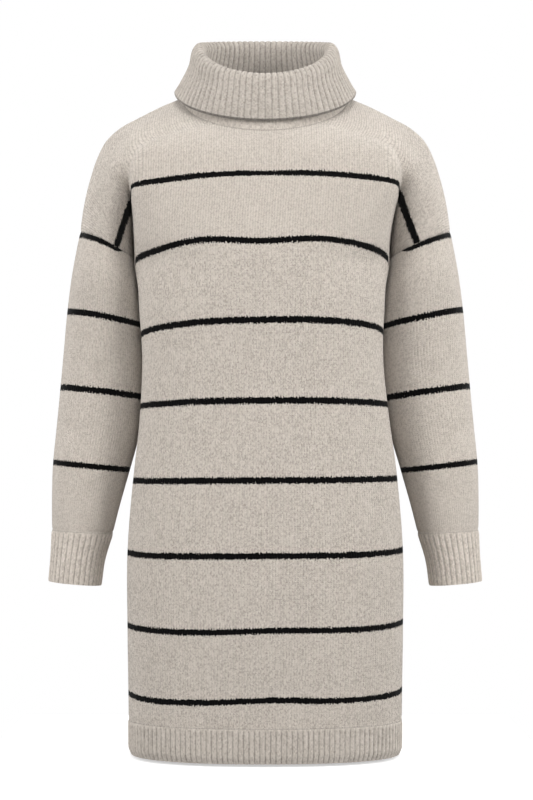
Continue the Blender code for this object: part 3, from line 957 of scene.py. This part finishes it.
def rib_height(count):
    """Height of the ribs at a place counted in ribs: 1 on a ridge, 0 in a groove."""
    off_ridge = np.abs(2 * (count - np.floor(count)) - 1)
    return np.sqrt(np.clip(1 - off_ridge ** 2, 0.0, 1.0))


def grid_normals(points, closed):
    """Normals of a smooth grid, on the side that a quad's corners turn anticlockwise."""
    if closed:
        along_row = np.roll(points, -1, axis=1) - np.roll(points, 1, axis=1)
    else:
        along_row = np.gradient(points, axis=1)
    normals = np.cross(along_row, np.gradient(points, axis=0))
    return normals / np.linalg.norm(normals, axis=2, keepdims=True)


def turned_out(points, closed):
    """The grid's quads, turned to face outwards, its outward normals, and whether it was turned."""
    quads = grid_quads(points.shape[0], points.shape[1], closed)
    normals = grid_normals(points, closed)
    first = points[:2]
    turn = ((first - first.mean(axis=1, keepdims=True)) * normals[:2]).sum() < 0
    return (quads[:, ::-1], -normals, True) if turn else (quads, normals, False)


def ribbed_band(name, points, ribs, closed, inside=False, start=RIB_START):
    """Ribbing on a grid of points, from its seam to its edge. Its map holds ribs across, metres along."""
    columns = points.shape[1]
    count = np.linspace(0, ribs, columns + 1 if closed else columns)
    along = lengths_along(points[:, columns // 2])
    quads, normals, turned = turned_out(points, closed)
    values = corner_values(np.stack(np.broadcast_arrays(count[None, :], along[:, None]), axis=2))
    if turned:
        values = values[:, ::-1]
    swell = (1 - fade(along / start)) * (1 - RIB_EDGE_FALL * fade((along[-1] - along) / RIB_ROUND))
    height = RIB_DEPTH * swell[:, None] * rib_height(count[:columns])[None, :]
    if inside:
        outer = points
        inner = points - normals * (WALL + height)[:, :, None]
    else:
        outer = points + normals * (height - RIB_DEPTH * RIB_SUNK * swell[:, None])[:, :, None]
        inner = points - normals * WALL
    piece = cloth_piece(name, outer.reshape(-1, 3), inner.reshape(-1, 3), quads, {"cloth": values})
    area = surface_area(points.reshape(-1, 3), quads)
    print(name, "faces:", len(piece.data.polygons), "area:", round(area, 4))
    return piece


HEM_RIBS = 72
HEM_ROWS = 16
CUFF_RIBS = 33
CUFF_ROWS = 22
HEM_CURL = 0.0030
HEM_CURL_REACH = 0.010
HEM_SIZE = np.array([0.175, 0.108, math.inf])


def hem_points(front):
    shares = np.linspace(0, 1, HEM_RIBS * RIB_COLUMNS // 2 + 1)
    rows = []
    for up in np.linspace(HEM_RIB_UP, HEM_UP, HEM_ROWS + 1):
        row = both_halves(resample(torso_line(up, front), shares))
        curl = HEM_CURL * fade((up - HEM_UP) / HEM_CURL_REACH)
        rows.append(row * (1 - curl / HEM_SIZE))
    return np.array(rows)


def cuff_points(side):
    columns = CUFF_RIBS * RIB_COLUMNS // 2
    return np.array([
        arm_ring(CUFF, at, side, columns)[:-1]
        for at in np.linspace(0, 1, CUFF_ROWS + 1)
    ])


for name, front in (("hem_front", True), ("hem_back", False)):
    pieces[name] = ribbed_band(f"{name}_rib", hem_points(front), HEM_RIBS, False)
for name, side in (("cuff_left", 1.0), ("cuff_right", -1.0)):
    pieces[name] = ribbed_band(f"{name}_rib", cuff_points(side), CUFF_RIBS, True)

# %% [markdown]
# ## The roll collar
#
# The collar is one long ribbed tube that stands up from the neckline, rolls over and falls back down
# outside itself. Folding it over turns the cloth, so the side that faces the neck inside is the side
# that shows on the fall. Both faces of that wall have ribs in real knitting. Here the showing face
# gets them, and the hidden face between stand and fall stays smooth. The ribs sway a little on the
# fall, because nothing holds them straight there.

# %% Collar
COLLAR_RIB_START = 0.030
COLLAR_RIBS_FRONT = 40
COLLAR_RIBS_BACK = 32
COLLAR_ROWS = 56
COLLAR_ROUNDS = 60
COLLAR_SWAY = 0.004
SWAY_TO = 0.7


def collar_grid():
    rings = []
    for along in np.linspace(0, 1, COLLAR_ROWS + 1):
        quarters = []
        for front, ribs, turn in ((True, COLLAR_RIBS_FRONT, 1.0), (False, COLLAR_RIBS_BACK, 2.0)) * 2:
            shares = np.linspace(0, 1, ribs * RIB_COLUMNS // 2 + 1)
            phase = turn + len(quarters)
            sway = np.sin(5 * math.pi * shares + phase + 4 * along)
            sway = sway + np.sin(2 * math.pi * shares + 3 * phase)
            held_ends = np.sin(math.pi * shares)
            shares = shares + COLLAR_SWAY * sway * held_ends * fade((1 - along) / SWAY_TO)
            quarters.append(resample(neck_line(along, front), shares))
        right = np.concatenate([quarters[0][:-1], quarters[1][:0:-1]])
        left = np.concatenate([quarters[3][:-1], quarters[2][:0:-1]]) * MIRROR
        rings.append(np.concatenate([right, left]))
    points = np.array(rings)
    for _ in range(COLLAR_ROUNDS):
        points = 0.5 * points + 0.25 * (np.roll(points, 1, axis=1) + np.roll(points, -1, axis=1))
    return points


COLLAR_RIBS = COLLAR_RIBS_FRONT + COLLAR_RIBS_BACK
collar_points = collar_grid()
COLLAR_RUN = lengths_along(collar_points[:, COLLAR_RIBS_FRONT * RIB_COLUMNS // 2])[-1]
pieces["collar"] = ribbed_band("collar_rib", collar_points, COLLAR_RIBS, True, True, COLLAR_RIB_START)

# %% [markdown]
# ## Shader arithmetic
#
# The materials are mostly arithmetic on the cloth coordinates: which wale, which course, how far from
# the middle of the stitch. A tree of a hundred Math nodes is hard to read, so one small class wraps a
# socket and lets Python's own operators add the nodes. The pattern then reads like a formula.

# %% A socket with operators
def joining(operation, swapped=False):
    """A method that puts a wire, and the other values if any, into one Math node."""
    def method(self, *others):
        values = (*others, self) if swapped else (self, *others)
        return self.node("ShaderNodeMath", 0, {"operation": operation}, dict(enumerate(values)))
    return method


class Wire:
    """A socket of a shader tree. Arithmetic on wires adds the nodes that work it out."""

    def __init__(self, tree, socket):
        self.tree = tree
        self.socket = socket

    def node(self, kind, output, settings, sockets):
        """A node of this kind, its settings made first, then its sockets; gives one output's wire."""
        node = self.tree.nodes.new(kind)
        for name, value in settings.items():
            setattr(node, name, value)
        for name, value in sockets.items():
            if isinstance(value, Wire):
                self.tree.links.new(value.socket, node.inputs[name])
            else:
                node.inputs[name].default_value = value
        return Wire(self.tree, node.outputs[output])

    __add__ = __radd__ = joining("ADD")
    __sub__ = joining("SUBTRACT")
    __rsub__ = joining("SUBTRACT", swapped=True)
    __mul__ = __rmul__ = joining("MULTIPLY")
    __truediv__ = joining("DIVIDE")
    __pow__ = joining("POWER")
    floor = joining("FLOOR")
    fract = joining("FRACT")
    size = joining("ABSOLUTE")
    least = joining("MINIMUM")
    below = joining("LESS_THAN")
    above = joining("GREATER_THAN")
    modulo = joining("FLOORED_MODULO")

    def ramp(self, low, high, to_low=0.0, to_high=1.0):
        """Goes smoothly from one value to another while this wire goes from low to high."""
        sockets = {"Value": self, "From Min": low, "From Max": high, "To Min": to_low, "To Max": to_high}
        return self.node("ShaderNodeMapRange", "Result", {"interpolation_type": "SMOOTHSTEP"}, sockets)

    def spot(self, across, down, third):
        return self.node("ShaderNodeCombineXYZ", 0, {}, {"X": across, "Y": down, "Z": third})

    def scatter(self, spot):
        """A random value from 0 to 1 for each whole-numbered spot."""
        return self.node("ShaderNodeTexWhiteNoise", "Value", {"noise_dimensions": "3D"}, {"Vector": spot})

    def cloud(self, spot, scale, detail, rough):
        settings = {"noise_dimensions": "3D"}
        sockets = {"Vector": spot, "Scale": scale, "Detail": detail, "Roughness": rough}
        return self.node("ShaderNodeTexNoise", "Fac", settings, sockets)

    def mix(self, first, second, factor):
        """A colour between two colours."""
        settings = {"data_type": "RGBA", "blend_type": "MIX"}
        sockets = {"Factor": factor, 6: first, 7: second}
        return self.node("ShaderNodeMix", 2, settings, sockets)

    def shaded(self, colour, shade):
        """A colour made lighter or darker."""
        return self.node("ShaderNodeVectorMath", 0, {"operation": "SCALE"}, {0: colour, "Scale": shade})


def new_material(name, plain):
    """A material with these plain socket values: it, its tree's first wire and its surface."""
    material = bpy.data.materials.new(name)
    material.use_nodes = True
    surface = material.node_tree.nodes["Principled BSDF"]
    for socket, value in plain.items():
        surface.inputs[socket].default_value = value
    return material, Wire(material.node_tree, None), surface


def split(wire, map_name):
    """The two numbers of a UV map."""
    uv = wire.node("ShaderNodeUVMap", "UV", {"uv_map": map_name}, {})
    parts = wire.node("ShaderNodeSeparateXYZ", "X", {}, {"Vector": uv})
    return parts, Wire(wire.tree, parts.socket.node.outputs["Y"])


def linear(red, green, blue):
    """A colour given in everyday 0 to 255 values, as the linear values that shaders use."""
    values = [
        value / 12.92 if value <= 0.04045 else ((value + 0.055) / 1.055) ** 2.4
        for value in (red / 255, green / 255, blue / 255)
    ]
    return (*values, 1.0)


# %% [markdown]
# ## The yarn
#
# The beige yarn is a heather: pale and darker fibres were mixed before spinning, so no two stitches are
# the same shade. Three layers make this up. Each leg of a stitch gets a random shade, fine clouds stand
# for the tufts of fibre along the yarn, and wide clouds for the way a heather yarn drifts over a whole
# garment. Wool scatters light at its fuzzy surface, so it has no gloss, and a little sheen lifts the edges
# where the surface turns away.

# %% Yarn colour
BEIGE = linear(205, 197, 188)
BEIGE_DARK = linear(122, 113, 104)
BEIGE_PALE = linear(238, 232, 224)
BLACK = linear(4, 4, 4)
TUFT_SCALE = 520.0
TUFT_STRENGTH = 2.2
DRIFT_SCALE = 26.0
DRIFT_STRENGTH = 0.30
BUMP_STRENGTH = 0.8
YARN = {
    "Roughness": 0.95,
    "Diffuse Roughness": 1.0,
    "Specular IOR Level": 0.06,
    "Sheen Weight": 0.05,
    "Sheen Roughness": 0.5,
}


def heather(wire, stitch, place, groove, contrast):
    """The yarn's colour: random by leg, tufted along the yarn, with painted shade in the grooves."""
    by_stitch = wire.scatter(stitch)
    tuft = (wire.cloud(place, TUFT_SCALE, 2.0, 0.8) - 0.5) * TUFT_STRENGTH
    drift = (wire.cloud(place, DRIFT_SCALE, 3.0, 0.6) - 0.5) * DRIFT_STRENGTH
    dark = (by_stitch * 0.75 + tuft + drift).ramp(0.10, 1.10)
    pale = (tuft - by_stitch * 0.5 + 0.5).ramp(0.25, 0.95)
    colour = wire.mix(BEIGE, BEIGE_DARK, dark * contrast)
    colour = wire.mix(colour, BEIGE_PALE, pale * contrast)
    # Painted shade: the colour darkens in the grooves.
    return wire.shaded(colour, 1 - groove)


def finish_surface(wire, surface, colour, height, distance):
    sockets = {"Strength": BUMP_STRENGTH, "Distance": distance, "Height": height}
    bump = wire.node("ShaderNodeBump", "Normal", {}, sockets)
    wire.tree.links.new(bump.socket, surface.inputs["Normal"])
    wire.tree.links.new(colour.socket, surface.inputs["Base Color"])


# %% [markdown]
# ## Stocking stitch with stripes
#
# The plain fabric is stocking stitch: every stitch is a small V, and the Vs stack into wales. Each V's
# legs rise outwards, so a course seen closely is a zigzag. The shader counts wales across and courses
# down, shifts the count by half a course along each leg, and cuts it into single legs. A stripe is
# then simply a little over three courses of black in every thirty-six, and the first, on the chest, is
# a bit narrower. Its edge gets small teeth from the legs of the stitches, and a fine cloud makes it
# waver as fuzzy yarn does. The heather shows least on the chest, where the light is strongest.

# %% Knit material
STRIPE_HALF = 1.52
FIRST_STRIPE_THINNER = 0.30
RAGGED_SCALE = 400.0
RAGGED_COURSES = 2.4
FIRST_RAGGED_LESS = 0.6
STITCH_BUMP = 0.0011
SEWN_SHADE = 0.24
SEWN_REACH = 0.0020
SHOULDER_CONTRAST = 0.40
CHEST_CONTRAST = 0.38
SKIRT_CONTRAST = 0.56
SLEEVE_CONTRAST = 0.44
SIDE_CONTRAST = 0.25


def knit_material(name, last_stripe, contrasts, grooves, seed):
    material, wire, surface = new_material(name, YARN)
    across, down = split(wire, "cloth")
    seam, _ = split(wire, "seam")
    wale = across / WALE + 0.5
    course = down / COURSE
    off_middle = (wale.fract() - 0.5).size() * 2
    along = course + off_middle * 0.5 - 0.25
    stitch = wire.spot((wale * 2).floor(), (along * 1.6).floor(), seed)
    between = off_middle ** 4.0
    knot = 1 - ((along.fract() - 0.5) * 2) ** 2.0
    height = (1 - between) * (0.6 + knot * 0.4) - (1 - off_middle) ** 4.0 * 0.15
    place = wire.spot(across, down, seed)

    half_pitch = 0.5 * PITCH / COURSE
    first = down.ramp(0.02, 0.06, 1.0, 0.0) * across.size().ramp(0.17, 0.19, 1.0, 0.0)
    waver = RAGGED_COURSES - first * FIRST_RAGGED_LESS
    ragged = along + (wire.cloud(place, RAGGED_SCALE, 1.0, 0.6) - 0.5) * waver
    off_stripe = ((ragged + half_pitch).modulo(2 * half_pitch) - half_pitch).size()
    in_stripe = off_stripe.below(STRIPE_HALF - first * FIRST_STRIPE_THINNER)
    in_range = down.above(-0.5 * PITCH) * down.below((last_stripe + 0.5) * PITCH)
    stripe = in_stripe * in_range

    high, middle, low = contrasts
    contrast = down.ramp(-0.06, -0.02, high, middle) + down.ramp(0.07, 0.12, 0.0, low - middle)
    contrast = contrast + across.size().ramp(0.16, 0.20, 0.0, SIDE_CONTRAST)
    # Painted shade in the grooves between wales, darker on the yoke and chest than lower down.
    groove = between * down.ramp(0.05, 0.12, *grooves)
    beige = heather(wire, stitch, place, groove, contrast)
    sewn = seam.ramp(0.0, SEWN_REACH, SEWN_SHADE, 0.0)
    colour = wire.mix(wire.shaded(beige, 1 - sewn), BLACK, stripe)
    fibre = wire.cloud(place, 1500.0, 2.0, 0.6)
    finish_surface(wire, surface, colour, height + fibre * 0.5, STITCH_BUMP)
    return material


BODY_CONTRASTS = (SHOULDER_CONTRAST, CHEST_CONTRAST, SKIRT_CONTRAST)
# The pairs after the contrasts say how dark the grooves between wales are painted, high and low.
knit_body = knit_material("knit_body", 7, BODY_CONTRASTS, (0.22, 0.14), 1.0)
knit_sleeve = knit_material("knit_sleeve", 3, (SLEEVE_CONTRAST,) * 3, (0.04, 0.04), 2.0)

# %% [markdown]
# ## Ribbed stitch
#
# On the ribbing the ridges carry one wale of plain stitches each. The groove between two ridges lies in
# the shade, so the colour is darkened towards it as painted shade, on top of the shading of the relief.
# Hem, cuffs and collar each get a material of their own, because they lie in different light: each
# band's colour is made lighter or darker as painted light and shade. The collar's stand has darker
# painted shade in its grooves than its fall, it is plain beside the neckline seam, and the edge of the
# fall has a painted shadow in front, where it is tucked against the chest.

# %% Rib material
RIB_BUMP = 0.0007
RIB_CONTRAST = 0.42
# How dark the painted shade in the collar's grooves is: the stand's eases to the fall's between these
# shares of its run.
STAND_TO = 0.38
FALL_FROM = 0.50
FALL_GROOVE_SHADE = 0.20
PLAIN_FROM = 0.3
# A painted shadow on the fall's edge, where it is tucked against the chest: darker in front than at the
# sides.
FRONT_EDGE_PAINTED_SHADOW = 0.60
SIDE_EDGE_PAINTED_SHADOW = 0.2
EDGE_FROM = COLLAR_RUN - 0.0022
EDGE_TO = COLLAR_RUN - 0.0008


def painted_edge_shadow(count, along):
    """A painted shadow on the edge of the collar's fall, darkest in front."""
    from_front = count.least(COLLAR_RIBS - count)
    front, side = 0.3 * COLLAR_RIBS_FRONT, 0.5 * COLLAR_RIBS_FRONT
    return along.ramp(EDGE_FROM, EDGE_TO) * from_front.ramp(front, side, FRONT_EDGE_PAINTED_SHADOW, SIDE_EDGE_PAINTED_SHADOW)


def rib_material(name, shade, depth, plain, seed, is_collar=False):
    material, wire, surface = new_material(name, YARN)
    count, along = split(wire, "cloth")
    off_ridge = (count.fract() - 0.5).size() * 2
    leg_place = (off_ridge * 2).least(1.0)
    course = along / COURSE + leg_place * 0.5
    stitch = wire.spot((count * 4).floor(), course.floor(), seed)
    leg = 1 - (leg_place * 2 - 1) ** 2.0
    knot = 1 - ((course.fract() - 0.5) * 2) ** 2.0
    height = leg * (0.4 + knot * 0.6)
    # Painted light and shade: the band's colour is scaled by its shade, and kept full beside the seam.
    painted_light_and_shadow = along.ramp(PLAIN_FROM * plain, plain, 1.0, shade)
    if is_collar:
        # The stand's grooves get darker painted shade than the fall's.
        depth = along.ramp(STAND_TO * COLLAR_RUN, FALL_FROM * COLLAR_RUN, depth, FALL_GROOVE_SHADE)
        # Painted shadow along the edge of the fall.
        painted_light_and_shadow = painted_light_and_shadow * (1 - painted_edge_shadow(count, along))
    # Painted shade: the colour darkens towards each groove, once the ribs have started.
    groove = off_ridge.ramp(0.55, 1.0) * along.ramp(PLAIN_FROM * plain, plain) * depth
    place = wire.spot(count * WALE * 2, along, seed)
    colour = wire.shaded(heather(wire, stitch, place, groove, RIB_CONTRAST), painted_light_and_shadow)
    fibre = wire.cloud(place, 2600.0, 1.0, 0.5)
    finish_surface(wire, surface, colour, height + fibre * 0.35, RIB_BUMP)
    return material


MATERIALS = {
    "front": knit_body,
    "back": knit_body,
    "sleeve": knit_sleeve,
    # Each band's first number lightens or darkens its colour as painted light and shade; the second is how
    # dark its grooves are painted.
    "hem": rib_material("rib_hem", 0.97, 0.26, RIB_START, 3.0),
    "cuff": rib_material("rib_cuffs", 1.08, 0.28, RIB_START, 5.0),
    "collar": rib_material("rib_collar", 0.86, 0.30, COLLAR_RIB_START, 4.0, True),
}
for name, piece in pieces.items():
    piece.data.materials.append(MATERIALS[name.split("_")[0]])
print("materials:", sorted({material.name for material in MATERIALS.values()}))

# %% [markdown]
# ## Floor and light
#
# The setting is a white studio. The garment floats just over a plain floor, so only its soft shadow shows
# under the hem. The floor glows a little, so that it is as white as the room around it and only the
# shadow stands out, and it throws no light back at the knit. Two broad lights at the sides, level with
# the shoulders, round the body off. Two weak ones lift the chest and the shoulders, and two behind light
# the back. The room fills the shadows, a little more from above. The camera sees it pure white, which is
# brighter than the light that it gives. The plain Standard view keeps the beige as it is.

# %% Floor, world and lights
FLOOR_UP = -0.8540
FLOOR_HALF = 0.36
FLOOR_PALE = 0.80
FLOOR_GLOW = 0.50
ROOM_LOW = 0.25
ROOM_HIGH = 0.40
ROOM_TINT = (1.0, 0.99, 0.98, 1.0)
WHITE = (1.0, 1.0, 1.0, 1.0)

LIGHTS = [
    # name, place, aim, size, watts
    ("left", (2.05, -1.45, 0.00), (0.0, 0.0, -0.42), 1.3, 46.0),
    ("right", (-2.05, -1.45, 0.00), (0.0, 0.0, -0.42), 1.3, 41.5),
    ("chest", (0.10, -1.45, 0.40), (0.0, 0.0, -0.15), 0.9, 5.4),
    ("top", (0.10, -1.2, 1.40), (0.0, 0.0, -0.15), 1.0, 11.0),
    ("back left", (1.70, 1.80, 0.10), (0.0, 0.0, -0.35), 1.4, 34.0),
    ("back right", (-1.70, 1.80, 0.10), (0.0, 0.0, -0.35), 1.4, 30.0),
]


def add_floor():
    """A plain white floor that takes the garment's own shadow and throws no light back at it."""
    corners = [(x * FLOOR_HALF, y * FLOOR_HALF, 0.0) for x, y in ((-1, -1), (1, -1), (1, 1), (-1, 1))]
    mesh = bpy.data.meshes.new("floor")
    mesh.from_pydata(corners, [], [(0, 1, 2, 3)])
    floor = bpy.data.objects.new("floor", mesh)
    floor.location = (0.0, 0.0, FLOOR_UP)
    bpy.context.scene.collection.objects.link(floor)
    floor.visible_diffuse = False
    floor.visible_glossy = False
    plain = {
        "Base Color": (FLOOR_PALE, FLOOR_PALE, FLOOR_PALE, 1.0),
        "Roughness": 1.0,
        "Specular IOR Level": 0.0,
        "Emission Color": WHITE,
        "Emission Strength": FLOOR_GLOW,
    }
    mesh.materials.append(new_material("floor_white", plain)[0])
    return floor


def add_room():
    """White where the camera sees it, and a softer white as the light that it gives."""
    world = bpy.data.worlds.new("white room")
    bpy.context.scene.world = world
    world.use_nodes = True
    tree = world.node_tree
    start = Wire(tree, None)
    seen = start.node("ShaderNodeLightPath", "Is Camera Ray", {}, {})
    way = start.node("ShaderNodeTexCoord", "Generated", {}, {})
    parts = start.node("ShaderNodeSeparateXYZ", "Z", {}, {"Vector": way})
    light = parts.ramp(-1.0, 1.0, ROOM_LOW, ROOM_HIGH)
    colour = start.mix(ROOM_TINT, WHITE, seen)
    strength = seen * (1.0 - light) + light
    background = tree.nodes["Background"]
    tree.links.new(colour.socket, background.inputs["Color"])
    tree.links.new(strength.socket, background.inputs["Strength"])


def add_light(name, spot, aim, size, watts):
    data = bpy.data.lights.new(name, "AREA")
    data.shape = "DISK"
    data.size = size
    data.energy = watts
    add_aimed(name, data, spot, aim)


floor = add_floor()
add_room()
for light in LIGHTS:
    add_light(*light)
bpy.context.scene.view_settings.view_transform = "Standard"
bpy.context.scene.view_settings.look = "None"
print("lights:", [light[0] for light in LIGHTS])

# %% [markdown]
#
# Last, each piece is tied to the frame: it rides on the garment and takes the place of the coarse node
# of the same name. The table lists how large each piece's cloth is when flat. Those are the sizes that a
# knitter would knit to: the panels, the sleeves, cuffs and collar all round, and the bands of ribbing
# opened out. A panel is as wide as its widest row, so its true area is given as well.

# %% Ride and replace
SHEETS = [
    # piece, flat width, length, area, how it is held
    ("front", 0.630, 0.810, 0.400, "hung"),
    ("back", 0.630, 0.810, 0.380, "hung"),
    ("sleeve_left", 0.350, 0.400, 0.122, "hung"),
    ("sleeve_right", 0.350, 0.400, 0.122, "hung"),
    ("cuff_left", 0.240, 0.069, None, "hung"),
    ("cuff_right", 0.240, 0.069, None, "hung"),
    ("hem_front", 0.475, 0.044, None, "hung"),
    ("hem_back", 0.440, 0.044, None, "hung"),
    ("collar", 0.600, 0.146, None, "folded"),
]
for name, width, length, area, held_as in SHEETS:
    piece = pieces[name]
    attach(piece, "root")
    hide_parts(name)

bpy.context.view_layer.update()
